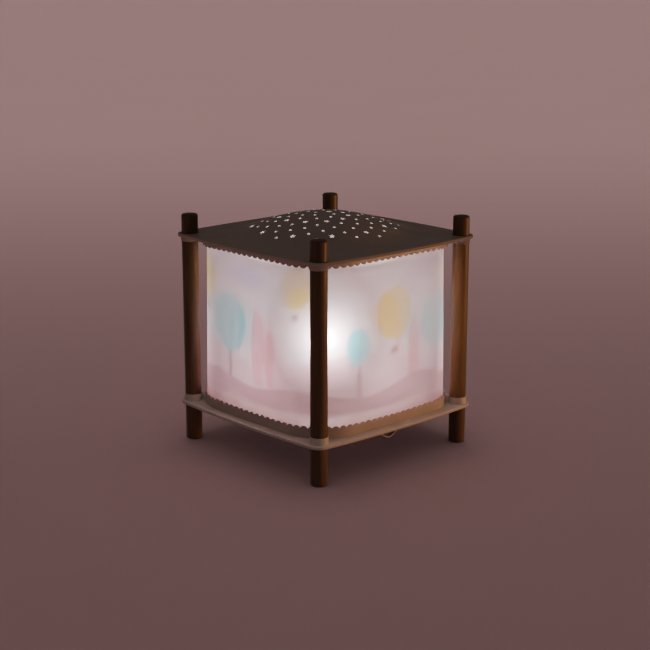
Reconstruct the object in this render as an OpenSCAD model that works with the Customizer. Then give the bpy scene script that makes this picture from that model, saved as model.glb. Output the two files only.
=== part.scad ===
// Square table lantern: four wooden posts carry two pressed plates, with a translucent shade between
// them and a printed film drum inside that the lamp's rising warm air turns on a needle.
// Millimetres, +Z up, origin on the table under the middle, sides square to X and Y, front at -Y.

/* [Posts] */
// Height of the four wooden posts
post_h = 190; // [170:1:240]
// Diameter of a post
post_d = 13.4; // [11:0.1:16]
// Distance between the centres of neighbouring posts
post_spacing = 155; // [140:1:190]
// Rounding of a post's two ends
post_round = 1.8; // [0.5:0.1:3]
// Length of a post that stands above the top cover
post_over = 15.5; // [10:0.5:24]
// Gap all round a post in its collars
post_gap = 0.1; // [0.05:0.05:0.3]

/* [Plates] */
// Thickness of the pressed sheet
sheet = 0.8; // [0.6:0.1:1.2]
// Height of the base plate's upper face above the table
leg_h = 33.5; // [28:0.5:50]
// Sheet left round a post at a plate's corner
ear_margin = 2.9; // [2.2:0.1:5]
// How far the middle of a plate's side bows out past its corners
plate_bow = 3.05; // [1.5:0.05:6]
// Depth of a plate's turned-down rim, sheet included
rim_h = 2.5; // [2:0.1:5]
// Height of the drawn collar that grips a post
collar_h = 5.7; // [3:0.1:8]
// Wall of a drawn collar
collar_wall = 1.0; // [0.6:0.1:1.6]
// Rounding where a collar is drawn out of its plate
collar_round = 0.5; // [0.2:0.1:0.6]
// Rounding of a collar's free edge
collar_lip_round = 0.3; // [0.1:0.1:0.5]

/* [Dome] */
// Rise of the dome in the top cover
dome_rise = 17.5; // [8:0.5:22]
// Flat border between the dome's foot and the middle of the cover's side
dome_border = 4.2; // [3:0.1:14]
// Width of the hollow curve at the dome's foot
dome_foot_w = 26; // [12:0.5:32]
// Number of star piercings in the dome
star_count = 95; // [20:1:120]
// Tip radius of a small star
star_small_r = 1.7; // [1.2:0.1:2.2]
// Tip radius of a large star
star_large_r = 2.6; // [2:0.1:3.2]
// One star in this many is a large one
star_large_every = 5; // [2:1:9]
// Radius of the circle that the stars' centres fill
star_reach = 60.3; // [40:0.1:66]
// Points of a star
star_points = 5; // [4:1:8]
// Share of a star's tip radius at which its notches lie
star_notch = 0.45; // [0.35:0.05:0.7]
// Turn of each star against the one before
star_turn = 50; // [0:5:90]

/* [Crowns] */
// Height of the lower crown's teeth above the base plate, at the middle of a side
base_crown_h = 8.6; // [7:0.1:14]
// Depth of the upper crown's teeth below the cover, at the middle of a side
cover_crown_h = 7; // [6:0.1:14]
// Extra height of both crowns at the corners
crown_arch = 1.2; // [0:0.1:1.6]
// Distance from a plate's edge in to the crown
crown_inset = 7.9; // [5:0.1:12]
// Gap between a crown's corner and the post's collar
crown_post_gap = 0.8; // [0.4:0.1:4]
// Spacing of the teeth along a side, before it is rounded to a whole number of teeth
tooth_pitch = 6.2; // [5:0.1:8]
// Depth of the notch between two teeth
tooth_depth = 2.0; // [1:0.1:2.4]
// Width of the tab that welds a crown's corner to its plate
tab_w = 16; // [8:1:22]
// Length of that tab
tab_len = 11; // [8:0.5:16]

/* [Shade] */
// Thickness of the shade sheet
shade_t = 0.6; // [0.4:0.1:1]
// Gap between the shade and a crown along the sides
shade_gap = 0.5; // [0.3:0.1:1.5]
// Gap between the shade and a crown at the corners
shade_corner_gap = 3.2; // [1:0.1:6]

/* [Drum] */
// Clear space between the film drum and the shade at the middle of a side
drum_clear = 12; // [6:0.5:20]
// Thickness of the printed film
film_t = 0.4; // [0.3:0.1:0.8]
// Gap from the base plate up to the film
film_low_gap = 10.5; // [6:0.5:20]
// Gap from the film up to the top cover
film_top_gap = 14; // [11:0.5:24]
// Height of the hoops inside the film's ends
hoop_h = 6; // [4:0.5:10]
// Wall of a hoop
hoop_wall = 1.2; // [0.8:0.1:2]
// Width of the ledge inside a hoop
hoop_ledge = 2.4; // [1.5:0.1:4]
// Thickness of a hoop's ledge
ledge_t = 1.0; // [0.6:0.1:2]
// Glue gap between the film, its hoops and the fan
glue_gap = 0.05; // [0.02:0.01:0.1]

/* [Fan] */
// Thickness of the fan's sheet
fan_t = 0.5; // [0.3:0.1:0.8]
// Number of vanes
vane_count = 12; // [6:1:16]
// Tilt of a vane
vane_tilt = 28; // [10:1:40]
// Share of each vane's pitch circle that the vane covers
vane_fill = 0.74; // [0.4:0.02:0.8]
// Width of the fan's flat rim
fan_rim_w = 4; // [3:0.5:8]
// Radius of the fan's flat hub
fan_hub_r = 11; // [8:0.5:16]
// Width of the flat spoke that runs through each vane
spoke_w = 3.6; // [2:0.1:5]

/* [Pivot] */
// Diameter of the arch's wire
wire_d = 2.6; // [2:0.1:4]
// Height of the arch's cross wire below the fan
arch_drop = 9; // [7.5:0.5:14]
// Bend radius of the arch's shoulders
arch_bend_r = 10; // [6:0.5:16]
// Gap between the tray's lugs and the arch's nuts
arch_clear = 2; // [1:0.5:6]
// Width across the flats of the arch's nuts
nut_af = 5.5; // [4.5:0.1:7]
// Height of a nut
nut_h = 2.2; // [1.6:0.1:3]
// Share of a nut's flats that its round faces span
nut_face = 0.96; // [0.85:0.01:1]
// Diameter of the needle's shank
needle_d = 2.4; // [1.6:0.1:3.2]
// Running gap round the needle in its cup
needle_fit = 0.06; // [0.02:0.01:0.1]
// Wall of the cup
cup_wall = 2.3; // [1.5:0.1:4]
// Depth of the cup's bore above the fan
cup_rise = 3; // [2:0.5:6]
// Thickness of the cup over the needle's point
cup_roof = 1.4; // [0.8:0.1:2.4]
// Width of the cup's flange on the fan
cup_flange_w = 2.5; // [1.5:0.1:4]
// Thickness of that flange
cup_flange_h = 1.2; // [0.8:0.1:2]
// Gap between the needle's foot and the cup
cup_gap = 1.4; // [0.6:0.1:2]
// Wall of the needle's foot round the cross wire
needle_foot_wall = 1.3; // [1:0.1:2.5]
// Height of the needle's foot under the cross wire
needle_foot_under = 0.8; // [0.5:0.1:2]
// Height of the needle's foot over the cross wire
needle_foot_over = 1.6; // [1:0.1:2.2]
// Length of the needle's point
needle_point = 1.5; // [1:0.1:2.5]
// Length of the arch's wire that shows under the lower nuts
wire_end = 1; // [0.5:0.1:4]

/* [Lamp] */
// Radius of the hole in the base plate that the lamp comes out through
open_r = 38; // [30:0.5:44]
// Width of the tray's lip under the base plate
tray_lip = 5; // [3:0.5:9]
// Running gap between the tray's ring and the hole
tray_fit = 0.08; // [0.03:0.01:0.1]
// Gap between the tray's lip and the base plate
tray_gap = 0.3; // [0.2:0.1:0.8]
// Reach of a tray lug over the base plate
lug_reach = 4; // [2.5:0.5:6]
// Width of a lug, as an angle
lug_turn = 14; // [8:1:20]
// Turn that takes the lugs from locked to their notches
tray_twist = 24; // [20:1:40]
// Gap between a lug and the end of its notch
notch_gap = 0.5; // [0.3:0.1:1]
// Diameter of the air holes in the tray and the base plate
vent_d = 9; // [5:0.5:10]
// Diameter of the bulb holder's body
holder_d = 27; // [24:0.5:34]
// Height of the bulb holder
holder_h = 36; // [30:0.5:48]
// Height of the wider top of the bulb holder
holder_head_h = 13.5; // [8:0.5:18]
// How far that top stands out past the body
holder_step = 1.2; // [0.6:0.1:2.5]
// Thickness of the bulb holder's flange
holder_flange_h = 2.5; // [2:0.1:4]
// Flange left outside the screw heads
holder_flange_edge = 0.8; // [0.5:0.1:3]
// Diameter of the bulb's screw cap
cap_d = 13.8; // [12:0.1:16]
// Length of the bulb's screw cap
cap_len = 24; // [18:0.5:28]
// Wall of the screw cap
cap_wall = 0.5; // [0.3:0.1:0.8]
// Length of the screw cap's tapered end
cap_taper = 4; // [2:0.5:6]
// Diameter of the screw cap's lower end
cap_tip_d = 8.2; // [7.5:0.1:10]
// Number of rolled thread rings on the screw cap
thread_count = 5; // [3:1:6]
// Depth of the thread
thread_depth = 0.5; // [0.3:0.1:0.7]
// Length of the screw cap that shows above its holder
cap_show = 1; // [0.5:0.5:4]
// Diameter of the bulb's contact where it meets the cap
contact_d = 7; // [5:0.1:7.4]
// Height of the bulb's contact
contact_h = 1.5; // [1:0.1:3]
// Diameter of the bulb's glass
bulb_d = 28; // [22:0.5:36]
// Height of the glass's centre above the screw cap
bulb_rise = 24; // [20:0.5:34]
// Thickness of the glass
glass_t = 0.8; // [0.6:0.1:1.2]
// Height of the glass's neck above the screw cap
neck_rise = 4; // [2:0.5:8]
// Diameter of the bulb holder's two screws
screw_d = 3; // [2.5:0.1:4]
// Diameter of a screw's head
screw_head_d = 5.7; // [5:0.1:8]
// Height of a screw's head
screw_head_h = 1.8; // [1.2:0.1:3]
// Rounding of a screw's head
screw_head_round = 0.9; // [0.4:0.1:1.1]
// Width of the slot in a screw's head
screw_slot = 0.8; // [0.6:0.1:1.2]
// Length of a screw that shows under the tray
screw_end = 1; // [0.5:0.1:4]

/* [Cord bridge] */
// Place of the cord bridge along the front side
bridge_x = -13; // [-30:1:30]
// Length of the bridge's bowed stretch
bridge_len = 26; // [20:0.5:36]
// Inside height of the bridge under the base plate
bridge_h = 5.7; // [5:0.1:9]
// Width of the bridge's strap
bridge_w = 5; // [3:0.5:6]
// Length of each of the strap's feet
bridge_foot = 5; // [3:0.5:10]
// Gap between the strap and the base plate's rim
bridge_edge = 0.7; // [0.2:0.1:4]
// Diameter of the cord's inlet
cord_d = 5; // [4:0.5:7]
// Wall of the grommet in the cord's inlet
grommet_wall = 1.2; // [0.8:0.1:2]
// Thickness of the grommet's two lips
grommet_lip = 1.6; // [1:0.1:2.5]
// Rounding of the grommet's lips
grommet_round = 0.8; // [0.3:0.1:0.9]

/* [Hidden] */
$fn = 96;
side_steps = 16;
ear_steps = 12;
band_steps = 12;
round_steps = 5;
bridge_steps = 20;
bulb_steps = 14;
thread_steps = 8;
cut = 1;
lap = 1;

post_r = post_d / 2;
post_a = post_spacing / 2;
collar_bore = post_r + post_gap;
collar_r = collar_bore + collar_wall;

// A plate is a square with bowed sides and corners that run round the posts.
ear_r = post_r + ear_margin;
plate_half = post_a + ear_r + plate_bow;
side_r = (post_a^2 + (ear_r + plate_bow)^2 - ear_r^2) / (2 * plate_bow);
side_c = side_r - plate_half;
ear_turn = atan2(post_a, post_a + side_c);

base_top = leg_h;
base_low = base_top - sheet;
cover_top = post_h - post_over;
cover_low = cover_top - sheet;

dome_r = plate_half - dome_border;
dome_cap_r = dome_r - dome_foot_w;
dome_radii = (dome_r^2 + dome_rise^2) / (2 * dome_rise);
cap_sphere_r = dome_radii * dome_cap_r / dome_r;
foot_curve_r = dome_radii - cap_sphere_r;
golden_turn = 180 * (3 - sqrt(5));

crown_corner = post_a * sqrt(2) - collar_r - crown_post_gap;
row_lap = 0.05;
shade_inset = crown_inset + sheet + shade_gap;
shade_corner = crown_corner - sheet - shade_corner_gap;
shade_low = base_top + sheet;
shade_top = cover_low - sheet;

film_r = plate_half - shade_inset - shade_t - drum_clear;
film_in_r = film_r - film_t;
film_low = base_top + film_low_gap;
film_top = cover_top - film_top_gap;
hoop_r = film_in_r - glue_gap;
hoop_in_r = hoop_r - hoop_wall;
fan_r = hoop_in_r - glue_gap;
fan_low = film_top - hoop_h + ledge_t;
fan_top = fan_low + fan_t;
vane_in_r = fan_hub_r + spoke_w;
vane_out_r = fan_r - fan_rim_w - spoke_w / 2;

wire_r = wire_d / 2;
wire_gap = 0.05;
bend_swell = 0.03;
bend_lap = 0.4;
nut_r = nut_af / sqrt(3);
arch_half = open_r + lug_reach + arch_clear + nut_r;
arch_z = fan_low - arch_drop;
arch_low = base_low - nut_h - wire_end;
needle_r = needle_d / 2;
needle_foot_r = wire_r + needle_foot_wall;
needle_foot_low = arch_z - wire_r - needle_foot_under;
needle_foot_top = arch_z + wire_r + needle_foot_over;
needle_point_r = 0.1;
needle_tip = fan_top + cup_rise;
cup_bore_r = needle_r + needle_fit;
cup_r = cup_bore_r + cup_wall;
cup_flange_r = cup_r + cup_flange_w;
cup_low = needle_foot_top + cup_gap;

tray_top = base_low - tray_gap;
tray_low = tray_top - sheet;
tray_ring_r = open_r - tray_fit;
lug_gap = 0.1;
lug_low = base_top + lug_gap;
lug_angles = [90, 210, 330];
notch_play = 2;
notch_r = open_r + lug_reach + notch_gap;
holder_r = holder_d / 2;
screw_r = screw_d / 2;
screw_head_r = screw_head_d / 2;
screw_head_gap = 0.8;
screw_gap = 0.05;
screw_place = holder_r + screw_head_gap + screw_head_r;
holder_flange_r = screw_place + screw_head_r + holder_flange_edge;
vent_r = vent_d / 2;
tray_vent_r = (open_r + holder_flange_r) / 2;
tray_vents = 10;
base_vents = 8;
holder_top = tray_top + holder_h;
cap_r = cap_d / 2;
cap_gap = 0.4;
contact_tip_d = contact_d - contact_h;
cap_top = holder_top + cap_show;
cap_low = cap_top - cap_len;
bulb_r = bulb_d / 2;
bulb_z = cap_top + bulb_rise;
bulb_skirt = -50;
neck_gap = 0.1;
neck_r = cap_r - cap_wall - neck_gap;

grommet_place = [0, tray_vent_r];
grommet_hole_r = cord_d / 2 + grommet_wall;
bridge_y = sheet + bridge_edge + bridge_w / 2 - plate_half;
vent_gap = 1;
base_vent_ring = arch_half + nut_r + vent_gap + vent_r;

wood = [0.36, 0.2, 0.09];
cream = [0.76, 0.7, 0.65];
steel = [0.7, 0.7, 0.7];

// Points turned about Z
function turned(points, turn) =
    [for (p = points) [p.x * cos(turn) - p.y * sin(turn), p.x * sin(turn) + p.y * cos(turn)]];

// The bowed +X side, moved in from the plate's edge, as an arc that ends half_turn either way
function side_arc(inset, half_turn, steps) = [
    for (i = [0 : steps])
        let (turn = half_turn * (2 * i / steps - 1))
        [(side_r - inset) * cos(turn) - side_c, (side_r - inset) * sin(turn)]
];

// The inner points of the corner's arc round a post
function ear_arc(inset) = [
    for (i = [1 : ear_steps - 1])
        let (turn = ear_turn + (90 - 2 * ear_turn) * i / ear_steps)
        [post_a + (ear_r - inset) * cos(turn), post_a + (ear_r - inset) * sin(turn)]
];

// Plate outline, moved in from its edge
function plate_outline(inset) = [
    for (side = [0 : 3])
        each turned(concat(side_arc(inset, ear_turn, side_steps), ear_arc(inset)), 90 * side)
];

// Half the turn of a band's side arc that reaches a corner cut off at this distance from the middle
function band_turn(inset, corner) =
    asin((sqrt(2) * corner + side_c) / (sqrt(2) * (side_r - inset))) - 45;

// Outline of a crown or the shade: bowed sides with the corners cut off inside the posts
function band_outline(inset, corner) = [
    for (side = [0 : 3])
        each turned(side_arc(inset, band_turn(inset, corner), band_steps), 90 * side)
];

// Quarter round from +x to +y about a centre
function quarter(centre, r, from) = [
    for (i = [0 : round_steps])
        let (turn = from + 90 * i / round_steps)
        centre + r * [cos(turn), sin(turn)]
];

// The same round run backwards, for a hollow corner
function hollow(centre, r) = let (arc = quarter(centre, r, 180)) [for (i = [round_steps : -1 : 0]) arc[i]];

module at_posts() {
    for (x = [-post_a, post_a], y = [-post_a, post_a]) translate([x, y, 0]) children();
}

module ring(r_out, r_in, h) {
    difference() {
        cylinder(r = r_out, h = h);
        translate([0, 0, -cut]) cylinder(r = r_in, h = h + 2 * cut);
    }
}

module tube_wall(outer, inner, h) {
    linear_extrude(h) difference() {
        polygon(outer);
        polygon(inner);
    }
}

// Turned post with rounded ends
module post() {
    color(wood) rotate_extrude() polygon(concat(
        [[0, 0]],
        quarter([post_r - post_round, post_round], post_round, -90),
        quarter([post_r - post_round, post_h - post_round], post_round, 0),
        [[0, post_h]]
    ));
}

module post_front_left() { translate([-post_a, -post_a, 0]) post(); }
module post_front_right() { translate([post_a, -post_a, 0]) post(); }
module post_rear_left() { translate([-post_a, post_a, 0]) post(); }
module post_rear_right() { translate([post_a, post_a, 0]) post(); }

// Pressed pan with a turned-down rim, its upper face at z = 0
module plate_pan() {
    translate([0, 0, -sheet]) linear_extrude(sheet) polygon(plate_outline(0));
    translate([0, 0, -rim_h]) tube_wall(plate_outline(0), plate_outline(sheet), rim_h);
}

// Collar drawn up out of a sheet whose upper face is at z = 0, before it is bored
module collar() {
    root = collar_r + collar_round;
    rotate_extrude() polygon(concat(
        [[0, -sheet], [root, -sheet]],
        hollow([root, collar_round], collar_round),
        quarter([collar_r - collar_lip_round, collar_h - collar_lip_round], collar_lip_round, 0),
        [[0, collar_h]]
    ));
}

// The bore for a post, with the rounded mouth that the drawing leaves on the sheet's other face
module collar_bored() {
    mouth = collar_bore + collar_round;
    rotate_extrude() polygon(concat(
        [[0, -sheet - cut], [mouth, -sheet - cut]],
        hollow([mouth, collar_round - sheet], collar_round),
        [[collar_bore, collar_h + cut], [0, collar_h + cut]]
    ));
}

// Part of a ring between two radii, centred on an angle
module ring_sector(r_in, r_out, width, centre) {
    reach = 2 * r_out;
    intersection() {
        difference() {
            circle(r_out);
            circle(r_in);
        }
        rotate(centre) polygon([
            [0, 0],
            [reach, -reach * tan(width / 2)],
            [reach, reach * tan(width / 2)]
        ]);
    }
}

// Base plate: collars up round the posts, lamp hole with bayonet notches, air holes and the arch's holes
module bottom_plate() {
    color(cream) difference() {
        union() {
            translate([0, 0, base_top]) plate_pan();
            at_posts() translate([0, 0, base_top]) collar();
        }
        at_posts() translate([0, 0, base_top]) collar_bored();
        translate([0, 0, base_low - cut]) linear_extrude(sheet + 2 * cut) {
            circle(open_r);
            for (angle = lug_angles)
                ring_sector(open_r - cut, notch_r, lug_turn + notch_play, angle + tray_twist);
            for (x = [-arch_half, arch_half]) translate([x, 0]) circle(wire_r + wire_gap);
            for (i = [0 : base_vents - 1])
                rotate((i + 0.5) * 360 / base_vents) translate([base_vent_ring, 0]) circle(vent_r);
        }
    }
}

// The metal above a row of round-headed teeth that rises by arch towards both ends
module tooth_waste(length, tip, arch) {
    count = max(1, round(length / tooth_pitch));
    pitch = length / count;
    head_r = (pitch^2 / 4 + tooth_depth^2) / (2 * tooth_depth);
    low = tip - 2 * tooth_depth;
    reach = length / 2 + row_lap;
    difference() {
        translate([-reach, low]) square([2 * reach, 2 * tooth_depth + arch + cut]);
        for (i = [0 : count - 1]) {
            place = (i - (count - 1) / 2) * pitch;
            notch = tip + arch * (2 * place / length)^2 - tooth_depth;
            left = i == 0 ? -reach : place - pitch / 2;
            right = i == count - 1 ? reach : place + pitch / 2;
            translate([left, low - cut]) square([right - left, notch - low + cut]);
            intersection() {
                translate([place, notch + tooth_depth - head_r]) circle(head_r);
                translate([left, notch - cut]) square([right - left, tooth_depth + 2 * cut]);
            }
        }
    }
}

// Scalloped band that stands on z = 0, with a weld tab at each corner
module crown(tip) {
    turn = band_turn(crown_inset, crown_corner);
    side_len = 2 * (side_r - crown_inset) * sin(turn);
    end_x = (side_r - crown_inset) * cos(turn) - side_c;
    corner_len = sqrt(2) * (end_x - side_len / 2);
    difference() {
        tube_wall(
            band_outline(crown_inset, crown_corner),
            band_outline(crown_inset + sheet, crown_corner - sheet),
            tip + crown_arch + cut / 2
        );
        for (side = [0 : 3]) {
            rotate(90 * side) translate([end_x - 2 * sheet, 0, 0]) rotate([90, 0, 90])
                linear_extrude(plate_half) tooth_waste(side_len, tip, crown_arch);
            rotate(90 * side + 45) translate([crown_corner - 2 * sheet, 0, 0]) rotate([90, 0, 90])
                linear_extrude(plate_half) tooth_waste(corner_len, tip + crown_arch, 0);
        }
    }
    for (side = [0 : 3])
        rotate(90 * side + 45) translate([crown_corner - tab_len, -tab_w / 2, 0])
            cube([tab_len - sheet / 2, tab_w, sheet]);
}

module bottom_crown() { color(cream) translate([0, 0, base_top]) crown(base_crown_h); }
module top_crown() { color(cream) translate([0, 0, cover_low]) mirror([0, 0, 1]) crown(cover_crown_h); }

// Bowed strap welded under the base plate's front edge, to hold the cord
module cord_bridge() {
    half = bridge_len / 2;
    reach = half + bridge_foot;
    bow = [
        for (i = [0 : bridge_steps])
            let (place = half * (2 * i / bridge_steps - 1))
            [place, -bridge_h * (1 + cos(180 * place / half)) / 2]
    ];
    upper = concat([[-reach, 0]], bow, [[reach, 0]]);
    lower = [for (i = [len(upper) - 1 : -1 : 0]) upper[i] - [0, sheet]];
    color(cream) translate([bridge_x, bridge_y + bridge_w / 2, base_low]) rotate([90, 0, 0])
        linear_extrude(bridge_w) polygon(concat(upper, lower));
}

// Twist-lock tray that fills the lamp hole: a disc with a ring in the hole and lugs over the plate
module lamp_tray() {
    color(cream) difference() {
        union() {
            translate([0, 0, tray_low]) cylinder(r = open_r + tray_lip, h = sheet);
            translate([0, 0, tray_low]) ring(tray_ring_r, tray_ring_r - sheet, lug_low + sheet - tray_low);
            for (angle = lug_angles) translate([0, 0, lug_low]) linear_extrude(sheet)
                ring_sector(tray_ring_r - sheet, open_r + lug_reach, lug_turn, angle);
        }
        translate([0, 0, tray_low - cut]) linear_extrude(sheet + 2 * cut) {
            for (i = [0 : tray_vents - 1])
                if (i != 0) rotate(90 + i * 360 / tray_vents) translate([tray_vent_r, 0]) circle(vent_r);
            translate(grommet_place) circle(grommet_hole_r);
            for (x = [-screw_place, screw_place]) translate([x, 0]) circle(screw_r);
        }
    }
}

// Rubber bush in the tray that the cord comes in through, its two lips rounded
module cord_grommet() {
    lip_r = grommet_hole_r + grommet_wall;
    low = tray_low - grommet_lip;
    high = tray_top + grommet_lip;
    color([0.12, 0.12, 0.12]) translate([grommet_place.x, grommet_place.y, 0])
        rotate_extrude() polygon(concat(
            [[cord_d / 2, low]],
            quarter([lip_r - grommet_round, low + grommet_round], grommet_round, -90),
            [[lip_r, tray_low], [grommet_hole_r, tray_low], [grommet_hole_r, tray_top], [lip_r, tray_top]],
            quarter([lip_r - grommet_round, high - grommet_round], grommet_round, 0),
            [[cord_d / 2, high]]
        ));
}

// Moulded bulb holder with a screw flange and a socket for the cap
module lamp_holder() {
    socket_r = cap_r + cap_gap;
    socket_floor = cap_low - contact_h - tray_top;
    head_r = holder_r + holder_step;
    waist = holder_h - holder_head_h;
    color([0.85, 0.84, 0.8]) translate([0, 0, tray_top]) difference() {
        rotate_extrude() polygon([
            [0, 0], [holder_flange_r, 0], [holder_flange_r, holder_flange_h], [holder_r, holder_flange_h],
            [holder_r, waist], [head_r, waist + holder_step], [head_r, holder_h - holder_step],
            [holder_r, holder_h], [socket_r, holder_h], [socket_r, socket_floor], [0, socket_floor]
        ]);
        for (x = [-screw_place, screw_place])
            translate([x, 0, -cut]) cylinder(r = screw_r, h = holder_flange_h + 2 * cut);
    }
}

// The two screws that hold the flange to the tray
module holder_screws() {
    color(steel) for (x = [-screw_place, screw_place]) {
        translate([x, 0, tray_low - screw_end])
            cylinder(r = screw_r - screw_gap, h = screw_end + sheet + holder_flange_h + screw_head_h / 4);
        translate([x, 0, tray_top + holder_flange_h]) difference() {
            rotate_extrude() polygon(concat(
                [[0, 0], [screw_head_r, 0]],
                quarter([screw_head_r, screw_head_h] - screw_head_round * [1, 1], screw_head_round, 0),
                [[0, screw_head_h]]
            ));
            translate([-screw_head_d / 2, -screw_slot / 2, screw_head_h / 2])
                cube([screw_head_d, screw_slot, screw_head_h]);
        }
    }
}

module bulb_contact() {
    color(steel) translate([0, 0, cap_low - contact_h])
        cylinder(d1 = contact_tip_d, d2 = contact_d, h = contact_h);
}

// Screw cap of the bulb, a thin drawn shell with its rolled thread drawn as rings
module bulb_cap() {
    thread_low = cap_taper + cap_wall;
    thread_len = cap_len - neck_rise - cap_wall - thread_low;
    last = thread_count * thread_steps;
    wave = [
        for (i = [0 : last])
            let (dip = (1 - cos(360 * i / thread_steps)) / 2)
            [cap_r - thread_depth * dip, thread_low + thread_len * i / last]
    ];
    color(steel) translate([0, 0, cap_low]) rotate_extrude() polygon(concat(
        [[0, 0], [cap_tip_d / 2, 0], [cap_r, cap_taper]],
        wave,
        [[cap_r, cap_len], [cap_r - cap_wall, cap_len]],
        [for (i = [last : -1 : 0]) wave[i] - [cap_wall, 0]],
        [[cap_r - cap_wall, cap_taper], [0, cap_taper]]
    ));
}

// Half section of a pear-shaped envelope, closed on the axis
function bulb_section(skin, low) = concat(
    [[0, low], [neck_r - skin, low], [neck_r - skin, cap_top + neck_rise]],
    [
        for (i = [0 : bulb_steps])
            let (turn = bulb_skirt + (90 - bulb_skirt) * i / bulb_steps)
            [(bulb_r - skin) * cos(turn), bulb_z + (bulb_r - skin) * sin(turn)]
    ]
);

module bulb_glass() {
    low = cap_top - neck_rise;
    color([0.95, 0.95, 0.9, 0.6]) rotate_extrude() difference() {
        polygon(bulb_section(0, low));
        polygon(bulb_section(glass_t, low + glass_t));
    }
}

// Bent wire over the bulb, with both feet through the base plate, a hair thicker in its two bends
module pivot_arch() {
    shoulder = arch_half - arch_bend_r;
    leg_top = arch_z - arch_bend_r;
    color(steel) {
        for (side = [0, 1]) rotate(180 * side) {
            translate([arch_half, 0, arch_low]) cylinder(r = wire_r, h = leg_top + bend_lap - arch_low);
            translate([shoulder, 0, leg_top]) rotate([90, 0, 0])
                rotate_extrude(angle = 90) translate([arch_bend_r, 0]) circle(wire_r + bend_swell);
        }
        translate([-shoulder - bend_lap, 0, arch_z]) rotate([0, 90, 0])
            cylinder(r = wire_r, h = 2 * (shoulder + bend_lap));
    }
}

// Nuts above and below the base plate on both feet of the arch
module arch_nuts() {
    face_r = nut_face * nut_af / 2;
    reach = nut_r + cut;
    slope = (reach - face_r) * tan(30);
    color(steel) for (x = [-arch_half, arch_half], z = [base_low - nut_h, base_top])
        translate([x, 0, z]) difference() {
            intersection() {
                cylinder(r = nut_r, h = nut_h, $fn = 6);
                rotate_extrude() polygon([
                    [0, 0], [face_r, 0], [reach, slope],
                    [reach, nut_h - slope], [face_r, nut_h], [0, nut_h]
                ]);
            }
            translate([0, 0, -cut]) cylinder(r = wire_r + wire_gap, h = nut_h + 2 * cut);
        }
}

// Pointed pin threaded on the middle of the cross wire
module pivot_needle() {
    point_low = needle_tip - needle_point;
    color(steel) difference() {
        union() {
            translate([0, 0, needle_foot_low])
                cylinder(r = needle_foot_r, h = needle_foot_top - needle_foot_low);
            translate([0, 0, arch_z]) cylinder(r = needle_r, h = point_low - arch_z);
            translate([0, 0, point_low]) cylinder(r1 = needle_r, r2 = needle_point_r, h = needle_point);
        }
        translate([-2 * needle_foot_r, 0, arch_z]) rotate([0, 90, 0])
            cylinder(r = wire_r + wire_gap, h = 4 * needle_foot_r);
    }
}

// Bearing bush at the middle of the fan, blind at the top, that rides on the needle's point
module pivot_cup() {
    bore_top = needle_tip + needle_fit;
    color([0.75, 0.6, 0.3]) difference() {
        union() {
            translate([0, 0, cup_low]) cylinder(r = cup_r, h = bore_top + cup_roof - cup_low);
            translate([0, 0, fan_top]) cylinder(r = cup_flange_r, h = cup_flange_h);
        }
        translate([0, 0, cup_low - cut]) cylinder(r = cup_bore_r, h = bore_top - cup_low + cut);
    }
}

// Fan pressed from one disc: hub, rim and flat spokes, each with a vane tilted about it
module drum_fan() {
    pitch = 360 / vane_count;
    in_w = 2 * vane_in_r * sin(pitch * vane_fill / 2);
    out_w = 2 * vane_out_r * sin(pitch * vane_fill / 2);
    color([0.92, 0.92, 0.9]) translate([0, 0, fan_low]) {
        ring(fan_r, fan_r - fan_rim_w, fan_t);
        ring(fan_hub_r, cup_r + wire_gap, fan_t);
        for (i = [0 : vane_count - 1]) rotate(i * pitch) {
            translate([fan_hub_r - lap, -spoke_w / 2, 0])
                cube([fan_r - fan_rim_w - fan_hub_r + 2 * lap, spoke_w, fan_t]);
            translate([0, 0, fan_t / 2]) rotate([vane_tilt, 0, 0]) translate([0, 0, -fan_t / 2])
                linear_extrude(fan_t) polygon([
                    [vane_in_r, -in_w / 2], [vane_out_r, -out_w / 2],
                    [vane_out_r, out_w / 2], [vane_in_r, in_w / 2]
                ]);
        }
    }
}

// Hoop inside the film's end, with a ledge
module hoop() {
    color([0.9, 0.9, 0.88]) {
        ring(hoop_r, hoop_in_r, hoop_h);
        ring(hoop_in_r + hoop_wall / 2, hoop_in_r - hoop_ledge, ledge_t);
    }
}

module drum_top_ring() { translate([0, 0, film_top - hoop_h]) hoop(); }
module drum_bottom_ring() { translate([0, 0, film_low]) hoop(); }

module drum_film() {
    color([0.85, 0.75, 0.75, 0.6]) translate([0, 0, film_low]) ring(film_r, film_in_r, film_top - film_low);
}

// Translucent sheet folded into a tube with cut-off corners, which stands on the crowns' tabs
module shade() {
    color([0.92, 0.87, 0.88, 0.8]) translate([0, 0, shade_low]) tube_wall(
        band_outline(shade_inset, shade_corner),
        band_outline(shade_inset + shade_t, shade_corner - shade_t),
        shade_top - shade_low
    );
}

// Half section under the dome's skin: a ball-shaped cap that runs out in a hollow foot
module dome_section(low) {
    ball_z = dome_rise - cap_sphere_r;
    intersection() {
        translate([0, ball_z]) circle(cap_sphere_r);
        translate([0, low]) square([dome_cap_r, dome_rise - low + cut]);
    }
    difference() {
        join_z = ball_z + sqrt(cap_sphere_r^2 - dome_cap_r^2);
        translate([dome_cap_r, low]) square([dome_foot_w, join_z - low]);
        translate([dome_r, foot_curve_r]) circle(foot_curve_r);
    }
}

module star(tip_r) {
    polygon([
        for (i = [0 : 2 * star_points - 1])
            let (turn = 180 * i / star_points)
            (i % 2 == 0 ? tip_r : tip_r * star_notch) * [cos(turn), sin(turn)]
    ]);
}

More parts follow.
